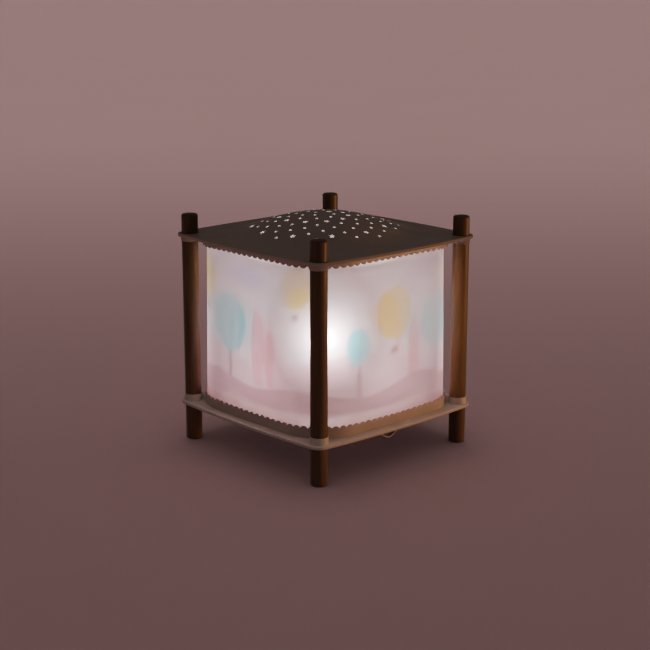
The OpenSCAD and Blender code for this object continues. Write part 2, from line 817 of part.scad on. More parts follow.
// Stars set out on a sunflower spiral, each turned its own way
module star_field() {
    for (i = [0 : star_count - 1]) {
        place = star_reach * sqrt((i + 0.5) / star_count);
        rotate(i * golden_turn) translate([place, 0]) rotate(i * star_turn)
            star(i % star_large_every == 0 ? star_large_r : star_small_r);
    }
}

// Domed cover: collars down round the posts, stars cut through the dome
module top_cover() {
    color(cream) translate([0, 0, cover_top]) {
        difference() {
            union() {
                plate_pan();
                at_posts() translate([0, 0, -sheet]) mirror([0, 0, 1]) collar();
            }
            at_posts() translate([0, 0, -sheet]) mirror([0, 0, 1]) collar_bored();
            translate([0, 0, -sheet - cut]) cylinder(r = dome_r, h = sheet + 2 * cut);
        }
        difference() {
            rotate_extrude() difference() {
                dome_section(-2 * sheet);
                translate([0, -sheet]) dome_section(-2 * sheet);
                translate([0, -3 * sheet]) square([dome_r, 2 * sheet]);
            }
            translate([0, 0, -sheet]) linear_extrude(dome_rise + 2 * sheet) star_field();
        }
    }
}

post_front_left();
post_front_right();
post_rear_left();
post_rear_right();
bottom_plate();
bottom_crown();
cord_bridge();
lamp_tray();
cord_grommet();
lamp_holder();
holder_screws();
bulb_contact();
bulb_cap();
bulb_glass();
pivot_arch();
arch_nuts();
pivot_needle();
pivot_cup();
drum_fan();
drum_top_ring();
drum_bottom_ring();
drum_film();
shade();
top_crown();
top_cover();
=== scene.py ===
import math

import bmesh
import bpy
from mathutils import Matrix, Vector


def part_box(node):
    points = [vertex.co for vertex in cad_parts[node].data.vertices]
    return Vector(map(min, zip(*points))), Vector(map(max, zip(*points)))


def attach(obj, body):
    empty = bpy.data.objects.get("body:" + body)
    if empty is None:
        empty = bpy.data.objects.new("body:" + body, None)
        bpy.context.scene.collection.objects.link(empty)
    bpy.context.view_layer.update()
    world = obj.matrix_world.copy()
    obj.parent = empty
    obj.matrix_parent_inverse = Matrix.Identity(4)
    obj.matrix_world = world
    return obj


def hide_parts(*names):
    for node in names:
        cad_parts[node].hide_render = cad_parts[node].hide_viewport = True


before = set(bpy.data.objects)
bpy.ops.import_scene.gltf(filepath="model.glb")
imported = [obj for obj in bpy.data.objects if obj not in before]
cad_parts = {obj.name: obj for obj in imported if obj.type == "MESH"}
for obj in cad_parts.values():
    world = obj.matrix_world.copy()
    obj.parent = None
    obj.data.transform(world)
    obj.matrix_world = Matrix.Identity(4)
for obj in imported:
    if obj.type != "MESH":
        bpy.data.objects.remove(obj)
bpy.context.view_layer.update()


# Posts
# Four turned dowels of stained hardwood with softened ends. They push through the collars of both
# plates, hold the lantern together and stand on the table as its feet.
def placed(name, data):
    """An object in the scene."""
    obj = bpy.data.objects.new(name, data)
    bpy.context.scene.collection.objects.link(obj)
    return obj


def meshed(name, bm, looks, scale=0.001):
    """A mesh drawn in millimetres, with its materials."""
    bmesh.ops.scale(bm, vec=(scale, scale, scale), verts=bm.verts)
    mesh = bpy.data.meshes.new(name)
    bm.to_mesh(mesh)
    bm.free()
    for look in looks:
        mesh.materials.append(look)
    return mesh


def creased(mesh, fold=math.radians(35)):
    """Smooth faces with sharp folds between them."""
    mesh.shade_smooth()
    mesh.set_sharp_from_angle(angle=fold)


def piece(name, bm, body, slot, looks, *nodes):
    """A drawn mesh becomes an object that rides on a body and stands for its nodes."""
    obj = placed(name, meshed(name, bm, looks))
    creased(obj.data)
    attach(obj, body)
    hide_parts(*nodes)
    return obj


def wired(look, kind, inputs=(), **settings):
    """A shader node with its settings made and its sockets set or linked."""
    made = look.node_tree.nodes.new(kind)
    for key, value in settings.items():
        setattr(made, key, value)
    for socket, value in dict(inputs).items():
        if isinstance(value, bpy.types.NodeSocket):
            look.node_tree.links.new(value, made.inputs[socket])
        else:
            made.inputs[socket].default_value = value
    return made


def shader(look):
    """The main shader of a material."""
    return look.node_tree.nodes["Principled BSDF"]


def new_look(name, sockets):
    """A material whose main shader has its constants set."""
    look = bpy.data.materials.new(name)
    look.use_nodes = True
    for socket, value in sockets.items():
        shader(look).inputs[socket].default_value = value
    return look


def feed(look, socket, source):
    """A node's output goes to the main shader."""
    look.node_tree.links.new(source, shader(look).inputs[socket])


def cloudy(look, scale, detail, stretch=(1, 1, 1)):
    """Noise in the piece's own metres, drawn out along an axis by a small stretch value."""
    place = wired(look, "ShaderNodeTexCoord").outputs["Object"]
    place = wired(look, "ShaderNodeMapping", {"Vector": place, "Scale": stretch}).outputs[0]
    return wired(look, "ShaderNodeTexNoise", {"Vector": place, "Scale": scale, "Detail": detail}).outputs[0]


def spread(look, value, low, high, new_low, new_high):
    """A value's range moved to another range and held there."""
    ranges = {0: value, 1: low, 2: high, 3: new_low, 4: new_high}
    return wired(look, "ShaderNodeMapRange", ranges).outputs[0]


def blended(look, factor, low, high):
    """One colour run into another."""
    return wired(look, "ShaderNodeMix", {0: factor, 6: low, 7: high}, data_type="RGBA").outputs[2]


def bumped(look, height, strength, depth):
    """Fine relief on the main shader."""
    relief = wired(look, "ShaderNodeBump", {"Height": height, "Strength": strength, "Distance": depth})
    feed(look, "Normal", relief.outputs[0])


wood = new_look("stained_wood", {"Specular IOR Level": 0.3, "Coat Weight": 0.06, "Coat Roughness": 0.3})
figure = cloudy(wood, 190, 3, (1, 1, 0.07))
pores = cloudy(wood, 1500, 3, (1, 1, 0.022))
dark_stain, pale_stain = (0.125, 0.072, 0.04, 1), (0.205, 0.118, 0.064, 1)
stain = blended(wood, spread(wood, figure, 0.32, 0.68, 0, 1), dark_stain, pale_stain)
stain = blended(wood, spread(wood, pores, 0.5, 0.72, 0, 0.55), stain, (0.075, 0.043, 0.025, 1))
feed(wood, "Base Color", stain)
feed(wood, "Roughness", spread(wood, pores, 0.35, 0.7, 0.4, 0.56))
bumped(wood, pores, 0.35, 0.0002)

post_sides, post_round = 64, 1.8
posts = {}
for corner in ("front_left", "front_right", "rear_left", "rear_right"):
    low, high = (1000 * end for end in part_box("post_" + corner))
    radius, length = (high.x - low.x) / 2, high.z - low.z
    dowel = {"segments": post_sides, "radius1": radius, "radius2": radius, "depth": length}
    bm = bmesh.new()
    bmesh.ops.create_cone(bm, cap_ends=True, **dowel)
    ends = [e for e in bm.edges if e.verts[0].co.z * e.verts[1].co.z > 0]
    bmesh.ops.bevel(bm, geom=ends, offset=post_round, segments=6, profile=0.5, affect="EDGES", material=-1)
    bmesh.ops.translate(bm, verts=bm.verts, vec=(low + high) / 2)
    posts[corner] = piece("turned_post_" + corner, bm, "frame", "post_wood", [wood], "post_" + corner)


# Base plate
# Pressed and painted steel sheet with a rim folded down, four collars drawn up to grip the posts,
# a round mouth with three notches that the lamp locks into, air holes and holes for the wire arch.
post_place, ear_r, plate_bow = 77.5, 9.6, 3.05
sheet, rim_h, rim_land = 0.8, 2.5, 1.1
fold_r, rim_edge_r, fold_inner_r = 0.8, 0.25, 0.2
collar_bore, collar_r, collar_h = 6.8, 7.3, 5.7
collar_land, bore_land = 0.55, 0.7
collar_foot_r, collar_lip_r, bore_mouth_r = 0.45, 0.3, 0.5
base_top, hole_ease = 33.5, 0.15
plate_half = post_place + ear_r + plate_bow
side_r = (post_place**2 + (ear_r + plate_bow) ** 2 - ear_r**2) / (2 * plate_bow)
side_c = side_r - plate_half
ear_turn = math.atan2(post_place, post_place + side_c)
upright = (0, 0, 1)


def turned(bm, geom, centre, angle, steps, axis=upright, **settings):
    """Drawn points or lines spun about an axis; gives what the spin ends on."""
    run = bmesh.ops.spin(bm, geom=geom, cent=centre, axis=axis, angle=angle, steps=steps, **settings)
    return run["geom_last"]


def points(geom):
    """The verts among drawn geometry."""
    return [g for g in geom if isinstance(g, bmesh.types.BMVert)]


def chain(bm, places):
    """An open line through some places, as verts and edges."""
    line = [bm.verts.new(place) for place in places]
    return line + [bm.edges.new(ends) for ends in zip(line, line[1:])]


def revolved(bm, section, steps, centre=(0, 0)):
    """A section of (radius, height) points spun once round an upright axis."""
    line = chain(bm, [(centre[0] + r, centre[1], z) for r, z in section])
    turned(bm, line, (*centre, 0), 2 * math.pi, steps, use_merge=True)


def at_height(part, height):
    """Whether an edge or a face lies level at a height."""
    return all(abs(v.co.z - height) < 0.001 for v in part.verts)


def rounded(bm, height, radius, segments):
    """The sharp edges that lie at a height get a radius."""
    sharp = [e for e in bm.edges if e.calc_face_angle(0) > 1 and at_height(e, height)]
    settings = {"offset": radius, "segments": segments, "profile": 0.5, "affect": "EDGES", "material": -1}
    bmesh.ops.bevel(bm, geom=sharp, **settings)


def filled(bm, height):
    """The open edges at a height close into one flat face with its holes."""
    rims = [e for e in bm.edges if len(e.link_faces) < 2 and at_height(e, height)]
    bmesh.ops.triangle_fill(bm, use_beauty=True, edges=rims, normal=upright)


def merged(bm):
    """Points that lie on one another become one."""
    bmesh.ops.remove_doubles(bm, verts=bm.verts, dist=0.02)


def pressed_plate(bm, top, collars_up):
    """The folded edge of a plate, swept round its bowed sides and its ears, and the collars at its posts."""
    low, edge = top - sheet, top - rim_h
    section = [(rim_land, top), (0, top), (0, edge), (sheet, edge), (sheet, low), (rim_land, low)]
    start = Vector((math.cos(ear_turn), -math.sin(ear_turn), 0))
    line = chain(bm, [(side_r - inset) * start + Vector((-side_c, 0, z)) for inset, z in section])
    for side in range(4):
        quarter = Matrix.Rotation(side * math.pi / 2, 3, "Z")
        line = turned(bm, line, quarter @ Vector((-side_c, 0, 0)), 2 * ear_turn, steps=28)
        ear = quarter @ Vector((post_place, post_place, 0))
        line = turned(bm, line, ear, math.pi / 2 - 2 * ear_turn, steps=20)
    merged(bm)
    rounded(bm, top, fold_r, segments=5)
    rounded(bm, edge, rim_edge_r, segments=2)
    rounded(bm, low, fold_inner_r, segments=2)
    near, far, way = (top, low, 1) if collars_up else (low, top, -1)
    lip = near + way * collar_h
    section = [(collar_r + collar_land, near), (collar_r, near), (collar_r, lip)]
    section += [(collar_bore, lip), (collar_bore, far), (collar_bore + bore_land, far)]
    for x in (-post_place, post_place):
        for y in (-post_place, post_place):
            revolved(bm, section, steps=64, centre=(x, y))
    rounded(bm, near, collar_foot_r, segments=4)
    rounded(bm, lip, collar_lip_r, segments=3)
    rounded(bm, far, bore_mouth_r, segments=4)


def pierced(bm, radius, top, steps, centre):
    """A round hole with softened edges through a plate's sheet."""
    low, wide = top - sheet, radius + hole_ease
    section = [(wide, top), (radius, top - hole_ease), (radius, low + hole_ease), (wide, low)]
    revolved(bm, section, steps, centre)


def painted(name, colour, grime, roughness):
    """Satin paint on steel: a faint cloudiness of shade, a fine orange peel and dulled patches."""
    look = new_look(name, {"Specular IOR Level": 0.45})
    grimy = spread(look, cloudy(look, 45, 5), 0.3, 0.7, 0, 1)
    feed(look, "Base Color", blended(look, grimy, (*colour, 1), (*grime, 1)))
    dulled = spread(look, cloudy(look, 160, 4), 0.3, 0.7, roughness - 0.06, roughness + 0.08)
    feed(look, "Roughness", dulled)
    bumped(look, cloudy(look, 1900, 2), 0.12, 0.00008)
    return look


base_paint = painted("cream_paint", (0.6, 0.5, 0.44), (0.55, 0.455, 0.4), 0.42)
vent_count, vent_r, vent_ring = 8, 4.5, 55.85
arch_hole_r, arch_foot_x = 1.35, 47.175
mouth_r, notch_r, notch_count, notch_turn, notch_place = 38, 42.5, 3, 16, 114
notch_steps, mouth_steps = 8, 52
bm = bmesh.new()
pressed_plate(bm, base_top, True)
for i in range(vent_count):
    turn = 2 * math.pi * (i + 0.5) / vent_count
    vent = (vent_ring * math.cos(turn), vent_ring * math.sin(turn))
    pierced(bm, vent_r, base_top, steps=32, centre=vent)
for x in (-arch_foot_x, arch_foot_x):
    pierced(bm, arch_hole_r, base_top, steps=16, centre=(x, 0))
start = math.radians(notch_place - notch_turn / 2)
tip = bm.verts.new((mouth_r * math.cos(start), mouth_r * math.sin(start), base_top))
notch_run = (notch_r / mouth_r, notch_turn, notch_steps)
mouth_run = (mouth_r / notch_r, 360 / notch_count - notch_turn, mouth_steps)
mouth = []
for reach, turn, steps in notch_count * (notch_run, mouth_run):
    stepped = bm.verts.new((tip.co.x * reach, tip.co.y * reach, base_top))
    mouth.append(bm.edges.new((tip, stepped)))
    before = set(bm.edges)
    tip = points(turned(bm, [stepped], (0, 0, 0), math.radians(turn), steps))[0]
    mouth += [e for e in bm.edges if e not in before]
wall = bmesh.ops.extrude_edge_only(bm, edges=mouth)["geom"]
bmesh.ops.translate(bm, verts=points(wall), vec=(0, 0, -sheet))
merged(bm)
filled(bm, base_top)
filled(bm, base_top - sheet)
bmesh.ops.recalc_face_normals(bm, faces=bm.faces)
base_plate = piece("pressed_base_plate", bm, "frame", "base_paint", [base_paint], "bottom_plate")


# Lower crown
# A strip of painted sheet with round scallops punched along its upper edge, bent round the corners
# inside the posts and spot-welded to the base plate by a tab at each corner.
lower_crown_h, crown_inset, crown_arch, crown_edge, collar_gap = 8.6, 7.9, 1.2, 0.12, 3.2
crown_corner = math.sqrt(2) * post_place - collar_r - collar_gap
tooth_pitch, tooth_depth, tooth_root, tooth_steps = 6.2, 2.0, 0.6, 12
tab_len, tab_half_turn, tab_steps = 10.8, math.radians(15), 8


def band_bend(inset, corner):
    """Place on both axes of a band's corner bend centre, and the turn of its side where the bend starts."""
    spare = side_r - inset - corner
    place = (side_c**2 - spare**2) / (2 * (math.sqrt(2) * spare - side_c))
    return place, math.atan2(place, place + side_c)


def band_path(bm, inset, corner, height, side_steps, bend_steps):
    """A closed line for a band: bowed sides and corner bends that run on from them."""
    place, turn = band_bend(inset, corner)
    run_r = side_r - inset
    tip = [bm.verts.new((run_r * math.cos(turn) - side_c, -run_r * math.sin(turn), height))]
    for side in range(4):
        quarter = Matrix.Rotation(side * math.pi / 2, 3, "Z")
        tip = points(turned(bm, tip, quarter @ Vector((-side_c, 0, 0)), 2 * turn, side_steps))
        bend = quarter @ Vector((place, place, 0))
        tip = points(turned(bm, tip, bend, math.pi / 2 - 2 * turn, bend_steps))
    merged(bm)


def raised(bm, edges, rise):
    """Edges pulled up into a wall; gives its new verts."""
    top = points(bmesh.ops.extrude_edge_only(bm, edges=edges)["geom"])
    bmesh.ops.translate(bm, verts=top, vec=(0, 0, rise))
    return top


def tooth(place, length, count):
    """Middle of the tooth at a place along a row, and how far the place lies below its tip."""
    pitch = length / count
    index = min(max(math.floor(place / pitch + count / 2), 0), count - 1)
    middle = (index - (count - 1) / 2) * pitch
    head_r = (pitch**2 / 4 + tooth_depth**2) / (2 * tooth_depth)
    return middle, head_r - math.sqrt(max(head_r**2 - (place - middle) ** 2, 0))


def crown(base, way, tip):
    """The scalloped band, standing up from a level or hanging down from it, with its weld tabs."""
    place, turn = band_bend(crown_inset, crown_corner)
    run_r, bend_r = side_r - crown_inset, crown_corner - math.sqrt(2) * place
    side_len, bend_len = 2 * run_r * turn, bend_r * (math.pi / 2 - 2 * turn)
    half = (side_len + bend_len) / 2
    side_teeth, bend_teeth = round(side_len / tooth_pitch), round(bend_len / tooth_pitch)
    bm = bmesh.new()
    band_path(bm, crown_inset, crown_corner, 0, side_teeth * tooth_steps, bend_teeth * tooth_steps)
    neck = set(raised(bm, bm.edges[:], tip - tooth_depth - tooth_root))
    neck_edges = [e for e in bm.edges if neck.issuperset(e.verts)]
    for v in raised(bm, neck_edges, tooth_root):
        side = round(math.atan2(v.co.y, v.co.x) / (math.pi / 2)) * math.pi / 2
        out = v.co.x * math.cos(side) + v.co.y * math.sin(side)
        across = abs(v.co.y * math.cos(side) - v.co.x * math.sin(side))
        side_turn = math.atan2(across, out + side_c)
        if side_turn < turn:
            along, drop = tooth(run_r * side_turn, side_len, side_teeth)
        else:
            to_corner = math.pi / 4 - math.atan2(across - place, out - place)
            from_corner, drop = tooth(bend_r * to_corner, bend_len, bend_teeth)
            along = half - from_corner
        v.co.z = tip + crown_arch * (along / half) ** 2 - drop
    bmesh.ops.recalc_face_normals(bm, faces=bm.faces)
    for side in range(4):
        middle = math.pi / 4 + side * math.pi / 2
        centre = math.sqrt(2) * place * Vector((math.cos(middle), math.sin(middle), 0))
        start = Vector((math.cos(middle - tab_half_turn), math.sin(middle - tab_half_turn), 0))
        level = centre + Vector((0, 0, sheet))
        ends = chain(bm, [level + r * start for r in (bend_r - tab_len, bend_r - sheet / 2)])
        turned(bm, ends, centre, 2 * tab_half_turn, tab_steps)
    flat = [f for f in bm.faces if at_height(f, sheet)]
    bmesh.ops.recalc_face_normals(bm, faces=flat)
    bm.normal_update()
    bmesh.ops.reverse_faces(bm, faces=[f for f in flat if f.normal.z < 0])
    if way < 0:
        bmesh.ops.scale(bm, vec=(1, 1, -1), verts=bm.verts)
        bmesh.ops.reverse_faces(bm, faces=bm.faces)
    bmesh.ops.translate(bm, vec=(0, 0, base), verts=bm.verts)
    return bm


def thickened(obj, wall, edge=0.0):
    """Sheet thickness inwards from the drawn face, and a small radius on its cut edges."""
    shell = obj.modifiers.new("thickness", "SOLIDIFY")
    shell.thickness, shell.offset, shell.use_even_offset = wall / 1000, -1, True
    if edge:
        eased = obj.modifiers.new("edges", "BEVEL")
        eased.width, eased.segments, eased.limit_method = edge / 1000, 2, "ANGLE"
        eased.angle_limit = math.radians(50)
    return shell


bm = crown(base_top, way=1, tip=lower_crown_h)
obj = piece("scalloped_lower_crown", bm, "frame", "base_paint", [base_paint], "bottom_crown")
thickened(obj, sheet, crown_edge)


# Cord bridge
# A short strap of the same painted sheet, bowed down and welded by its two feet under the front edge
# of the base plate, so that a flex can be led through it.
bridge_x, bridge_y, bridge_half, bridge_foot = -13, -86.15, 13, 5
bridge_w, bridge_drop, bridge_edge = 5, 5.7, 0.2
bm = bmesh.new()
bmesh.ops.create_grid(bm, x_segments=48, y_segments=2, size=1)
bmesh.ops.scale(bm, vec=(bridge_half + bridge_foot, bridge_w / 2, 1), verts=bm.verts)
for v in bm.verts:
    run = min(abs(v.co.x) / bridge_half, 1)
    v.co.z = -bridge_drop * (1 + math.cos(math.pi * run)) / 2
bmesh.ops.translate(bm, vec=(bridge_x, bridge_y, base_top - sheet), verts=bm.verts)
obj = piece("bowed_cord_bridge", bm, "frame", "base_paint", [base_paint], "cord_bridge")
thickened(obj, sheet, bridge_edge)


# Lamp tray and inlet bush
# The tray is a pressed disc with a ring and three lugs that lock it in the base plate's mouth. A black
# rubber bush lines the hole where a flex comes in.
def plain_finish(name, sockets, tint, low, high, dulling, dull_low, dull_high, relief, strength, depth):
    """A plain finish: cloudy tint between two colours, dulled patches and fine relief."""
    look = new_look(name, sockets)
    feed(look, "Base Color", blended(look, cloudy(look, *tint), (*low, 1), (*high, 1)))
    feed(look, "Roughness", spread(look, cloudy(look, *dulling), 0.3, 0.7, dull_low, dull_high))
    bumped(look, cloudy(look, *relief), strength, depth)
    return look


def dress(node, look):
    """A CAD node keeps its shape and takes a finish."""
    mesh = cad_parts[node].data
    mesh.materials.clear()
    mesh.materials.append(look)


dress("lamp_tray", base_paint)
rubber = plain_finish(
    "black_rubber", {"Specular IOR Level": 0.3},
    tint=(700, 3), low=(0.012, 0.012, 0.012), high=(0.035, 0.034, 0.033),
    dulling=(400, 4), dull_low=0.6, dull_high=0.85,
    relief=(2600, 2), strength=0.2, depth=0.00006,
)
dress("cord_grommet", rubber)


# Bulb holder and its screws
# A moulded cream socket with a wider head, held to the tray by two slotted steel screws through
# its flange.
moulded = plain_finish(
    "cream_moulding", {"IOR": 1.5},
    tint=(90, 3), low=(0.77, 0.74, 0.66), high=(0.7, 0.67, 0.59),
    dulling=(260, 3), dull_low=0.28, dull_high=0.42,
    relief=(2200, 2), strength=0.08, depth=0.00005,
)
dress("lamp_holder", moulded)
steel = plain_finish(
    "bright_steel", {"Metallic": 1.0},
    tint=(120, 4), low=(0.56, 0.56, 0.57), high=(0.44, 0.44, 0.46),
    dulling=(900, 3, (1, 1, 0.2)), dull_low=0.2, dull_high=0.38,
    relief=(3000, 2, (1, 1, 0.1)), strength=0.06, depth=0.00004,
)
dress("holder_screws", steel)


# Bulb
# A small frosted bulb with a drawn aluminium screw cap and a brass contact under it. It is the lantern's
# light, and the heat over it turns the drum.
brass = plain_finish(
    "turned_brass", {"Metallic": 1.0},
    tint=(150, 4), low=(0.66, 0.45, 0.16), high=(0.5, 0.32, 0.1),
    dulling=(700, 3, (1, 1, 6)), dull_low=0.22, dull_high=0.4,
    relief=(2400, 2, (1, 1, 5)), strength=0.08, depth=0.00004,
)
dress("bulb_contact", brass)
aluminium = plain_finish(
    "drawn_aluminium", {"Metallic": 1.0},
    tint=(130, 4), low=(0.72, 0.72, 0.73), high=(0.6, 0.6, 0.62),
    dulling=(600, 3, (1, 1, 4)), dull_low=0.25, dull_high=0.42,
    relief=(2400, 2, (1, 1, 4)), strength=0.08, depth=0.00004,
)
dress("bulb_cap", aluminium)
frosting = {"Emission Color": (1, 0.9, 0.78, 1), "Transmission Weight": 0.3, "IOR": 1.45}
frosted = new_look("frosted_glass", frosting)
frost_tint = blended(frosted, cloudy(frosted, 60, 2), (0.95, 0.93, 0.9, 1), (0.9, 0.88, 0.85, 1))
feed(frosted, "Base Color", frost_tint)
feed(frosted, "Roughness", spread(frosted, cloudy(frosted, 1200, 2), 0.3, 0.7, 0.5, 0.7))
feed(frosted, "Emission Strength", spread(frosted, cloudy(frosted, 30, 1), 0.2, 0.8, 0.5, 0.7))
dress("bulb_glass", frosted)
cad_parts["bulb_glass"].visible_shadow = False
glow = bpy.data.lights.new("bulb_light", "POINT")
glow.energy, glow.color, glow.shadow_soft_size = 0.52, (1.0, 0.9, 0.88), 0.002
lamp = placed("bulb_light", glow)
lamp.location = (0.0008, -0.0008, 0.086)


# Wire arch, its nuts and the needle
# Bright steel wire bent over the bulb, clamped through the base plate by nuts above and below it, with
# a pointed pin threaded on its middle for the drum to turn on.
for node in ("pivot_arch", "arch_nuts", "pivot_needle"):
    dress(node, steel)
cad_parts["pivot_arch"].visible_shadow = False


# Drum cup, fan and hoops
# A turned brass cup rides on the needle and carries a fan pressed from thin white plastic sheet, which lets
# the bulb's light through and also has a painted glow of its own. Two moulded hoops keep the film round.
def mixed(look, first, second, share):
    """Two shaders mixed by the second one's share."""
    return wired(look, "ShaderNodeMixShader", {0: share, 1: first.outputs[0], 2: second.outputs[0]})


def surfaced(look, source):
    """A shader becomes the material's surface."""
    look.node_tree.links.new(source.outputs[0], look.node_tree.nodes["Material Output"].inputs[0])


dress("pivot_cup", brass)
glowing_fan_sheet = new_look("white_fan_sheet", {"Emission Color": (1, 0.95, 0.95, 1)})
fan_shade = blended(glowing_fan_sheet, cloudy(glowing_fan_sheet, 50, 3), (0.9, 0.88, 0.88, 1), (0.84, 0.82, 0.82, 1))
feed(glowing_fan_sheet, "Base Color", fan_shade)
feed(glowing_fan_sheet, "Roughness", spread(glowing_fan_sheet, cloudy(glowing_fan_sheet, 300, 3), 0.3, 0.7, 0.45, 0.65))
# Painted glow: the fan sheet gives off light of its own, on top of the bulb's light that passes through it.
feed(glowing_fan_sheet, "Emission Strength", spread(glowing_fan_sheet, cloudy(glowing_fan_sheet, 40, 2), 0.2, 0.8, 1.5, 1.9))
fan_through = wired(glowing_fan_sheet, "ShaderNodeBsdfTranslucent", {"Color": fan_shade})
surfaced(glowing_fan_sheet, mixed(glowing_fan_sheet, shader(glowing_fan_sheet), fan_through, share=0.8))
dress("drum_fan", glowing_fan_sheet)
hoop = plain_finish(
    "white_hoop_plastic", {"IOR": 1.48},
    tint=(70, 3), low=(0.82, 0.82, 0.8), high=(0.76, 0.76, 0.74),
    dulling=(320, 3), dull_low=0.4, dull_high=0.55,
    relief=(2000, 2), strength=0.08, depth=0.00005,
)
for node in ("drum_top_ring", "drum_bottom_ring"):
    dress(node, hoop)
    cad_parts[node].visible_shadow = False


# Printed film
# Clear film rolled into a drum and printed with hills, trees, balloons and clouds, in inks that tint the
# bulb's light on its way to the shade.
film_r, film_low, film_top, film_wall = 68.35, 44.0, 160.5, 0.4
bm = bmesh.new()
film_middle = (film_low + film_top) / 2
revolved(bm, [(film_r, film_low), (film_r, film_middle), (film_r, film_top)], steps=144)
bmesh.ops.recalc_face_normals(bm, faces=bm.faces)
print_look = new_look("printed_film", {"Roughness": 0.25})
print_turn, millimetres = math.radians(135), (1000, 1000, 1000)
print_place = wired(print_look, "ShaderNodeTexCoord").outputs["Object"]
print_map = {"Vector": print_place, "Rotation": (0, 0, print_turn), "Scale": millimetres}
print_place = wired(print_look, "ShaderNodeMapping", print_map).outputs[0]
axes = wired(print_look, "ShaderNodeSeparateXYZ", {0: print_place}).outputs


def sums(operation, a, b=0.0, c=0.0):
    """One step of arithmetic in the print."""
    return wired(print_look, "ShaderNodeMath", {0: a, 1: b, 2: c}, operation=operation).outputs[0]


def vectors(operation, *inputs):
    """One step of arithmetic with places in the print."""
    return wired(print_look, "ShaderNodeVectorMath", enumerate(inputs), operation=operation).outputs


along = sums("MULTIPLY", sums("ARCTAN2", axes[1], axes[0]), film_r)
spot = wired(print_look, "ShaderNodeCombineXYZ", {0: along, 1: axes[2]}).outputs[0]


def blobs(places):
    """How deep a point lies in the nearest of some rounds, each (along, up, half width, half height)."""
    least = None
    for x, y, w, h in places:
        near = vectors("MULTIPLY_ADD", spot, (1 / w, 1 / h, 0), (-x / w, -y / h, 0))[0]
        far = vectors("LENGTH", near)[1]
        least = far if least is None else sums("MINIMUM", least, far)
    return spread(print_look, least, 0.94, 1.02, 1, 0)


def hills(level, swing, waves, phase):
    """The ground under a rolling line with a whole number of waves round the drum."""
    wave = sums("SINE", sums("MULTIPLY_ADD", along, waves / film_r, phase))
    line = sums("MULTIPLY_ADD", wave, swing, level)
    return spread(print_look, sums("SUBTRACT", line, axes[2]), -0.5, 0.5, 0, 1)


round_trees = [
    (-172, 104, 14, 18), (-120, 98, 11, 14), (-74, 106, 16, 20),
    (24, 98, 9, 12), (92, 104, 13, 17), (140, 96, 10, 13),
]
trunks = [(x, y - h - 9, 1.7, 13) for x, y, w, h in round_trees]
poplars = [(-148, 92, 6, 24), (-46, 94, 6.5, 26), (-34, 88, 5, 20), (72, 90, 5.5, 22), (176, 90, 6, 23)]
balloons = [
    (-98, 128, 11, 13), (-14, 132, 10, 12), (54, 118, 16, 19),
    (118, 128, 11, 13), (196, 122, 13, 16),
]
baskets = [(x, y - 1.35 * h, w / 4, w / 5) for x, y, w, h in balloons]
cloud_places = ((-140, 136), (-56, 142), (86, 142), (160, 136))
cloud_parts = ((0, 0, 13, 7), (-11, -3, 9, 5), (11, -3, 9, 5))
puffs = [(x + dx, y + dy, w, h) for x, y in cloud_places for dx, dy, w, h in cloud_parts]
ink = (0.95, 0.85, 0.9, 1)
for mask, colour in (
    (blobs(puffs), (0.7, 0.64, 0.88, 1)),
    (hills(88, 6, 3, 0.6), (0.88, 0.62, 0.69, 1)),
    (blobs(poplars), (0.86, 0.36, 0.45, 1)),
    (blobs(trunks), (0.36, 0.2, 0.2, 1)),
    (blobs(round_trees), (0.12, 0.7, 0.78, 1)),
    (blobs(baskets), (0.36, 0.2, 0.2, 1)),
    (blobs(balloons), (0.92, 0.74, 0.15, 1)),
    (hills(70, 4, 5, 2.1), (0.48, 0.26, 0.31, 1)),
):
    ink = blended(print_look, mask, ink, colour)
worn = spread(print_look, cloudy(print_look, 220, 4), 0.35, 0.65, 0, 0.12)
ink = blended(print_look, worn, ink, (1, 1, 1, 1))
feed(print_look, "Base Color", ink)
clear = wired(print_look, "ShaderNodeBsdfTransparent", {"Color": ink})
soft = wired(print_look, "ShaderNodeBsdfTranslucent", {"Color": ink})
gloss = mixed(print_look, soft, shader(print_look), share=0.5)
surfaced(print_look, mixed(print_look, clear, gloss, share=0.16))
film_back = new_look("film_back", {"Roughness": 0.2})
back_tint = blended(film_back, cloudy(film_back, 90, 3), (1, 1, 1, 1), (0.95, 0.95, 0.97, 1))
feed(film_back, "Base Color", back_tint)
unprinted = wired(film_back, "ShaderNodeBsdfTransparent", {"Color": (0.98, 0.98, 0.98, 1)})
surfaced(film_back, mixed(film_back, unprinted, shader(film_back), share=0.05))
obj = piece("rolled_print_film", bm, "drum", "printed_film", [print_look, film_back], "drum_film")
thickened(obj, film_wall).material_offset = 1


# Shade
# White translucent plastic sheet bent into a tube with rounded corners, a little narrower at its top.
# It stands on the lower crown's tabs and is held at both ends behind the scalloped bands.
shade_gap, shade_inset = 1.3, 9.2
shade_corner = crown_corner - shade_gap
shade_low, shade_top, shade_taper, shade_wall = 34.3, 172.9, 0.976, 0.6
bm = bmesh.new()
band_path(bm, shade_inset, shade_corner, shade_low, side_steps=40, bend_steps=24)
for v in raised(bm, bm.edges[:], shade_top - shade_low):
    v.co.xy *= shade_taper
bmesh.ops.recalc_face_normals(bm, faces=bm.faces)
shade_sockets = {"Roughness": 0.5, "IOR": 1.46, "Emission Color": (1, 0.93, 0.95, 1)}
shade_look = new_look("translucent_sheet", shade_sockets)
mist = spread(shade_look, cloudy(shade_look, 35, 4), 0.3, 0.7, 0, 1)
milk = blended(shade_look, mist, (0.93, 0.86, 0.89, 1), (0.9, 0.83, 0.87, 1))
shade_place = wired(shade_look, "ShaderNodeTexCoord").outputs["Object"]
up = wired(shade_look, "ShaderNodeSeparateXYZ", {0: shade_place}).outputs[2]
